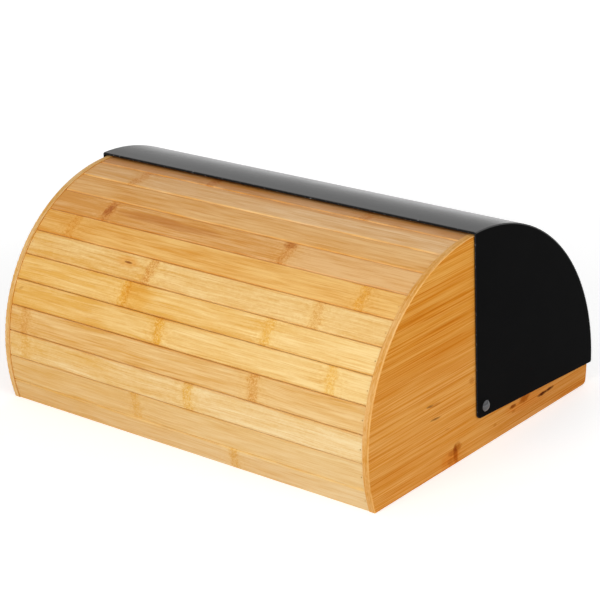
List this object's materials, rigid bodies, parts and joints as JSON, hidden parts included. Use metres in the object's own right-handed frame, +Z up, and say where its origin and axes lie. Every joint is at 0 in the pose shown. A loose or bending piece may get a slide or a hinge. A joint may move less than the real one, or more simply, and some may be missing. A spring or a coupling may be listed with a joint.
{
  "type": "bread box",
  "caption": "Drum-shaped bamboo bread box with a slatted back and a black steel quarter-drum lid that pivots up and over the slats.",
  "frame": {"origin": "on the table, on the base panel's underside, in the middle of the width and straight under the lid's pivot line", "axes": "+X along the width, +Y from the front (lid and mouth) to the slatted back, +Z up"},
  "size_m": [0.4082, 0.3027, 0.1791],
  "materials": {
    "bamboo_slat": "satin lacquer",
    "bamboo_panel": "satin lacquer",
    "dowel_wood": "plain",
    "black_powder_coat": "satin powder coat",
    "bright_steel": "nickel plated",
    "pin_steel": "dull",
    "nylon": "matt",
    "bumper_rubber": "matt"
  },
  "bodies": {
    "case": {"side_panel_right": "bamboo_panel", "side_panel_left": "bamboo_panel", "base_panel": "bamboo_panel", "sill_rail": "bamboo_panel", "top_rail": "bamboo_panel", "slat_01": "bamboo_slat", "slat_02": "bamboo_slat", "slat_03": "bamboo_slat", "slat_04": "bamboo_slat", "slat_05": "bamboo_slat", "slat_06": "bamboo_slat", "slat_07": "bamboo_slat", "slat_08": "bamboo_slat", "slat_09": "bamboo_slat", "slat_10": "bamboo_slat", "slat_11": "bamboo_slat", "slat_12": "bamboo_slat", "slat_13": "bamboo_slat", "slat_pins": "pin_steel", "base_dowels": "dowel_wood", "rail_dowels": "dowel_wood", "lid_bumper_right": "bumper_rubber", "lid_bumper_left": "bumper_rubber", "pivot_post_right": "bright_steel", "pivot_post_left": "bright_steel", "pivot_spacer_right": "nylon", "pivot_spacer_left": "nylon", "pivot_washer_right": "bright_steel", "pivot_washer_left": "bright_steel", "pivot_screw_right": "bright_steel", "pivot_screw_left": "bright_steel"},
    "lid": {"lid_cover": "black_powder_coat", "lid_side_right": "black_powder_coat", "lid_side_left": "black_powder_coat", "knob": "bright_steel", "knob_screw": "bright_steel"}
  },
  "joints": [
    {"name": "lid_hinge", "type": "hinge", "parent": "case", "child": "lid", "pos_m": [0, 0, 0.0346], "axis": [-1, 0, 0], "range_deg": [0, 83.6]}
  ]
}
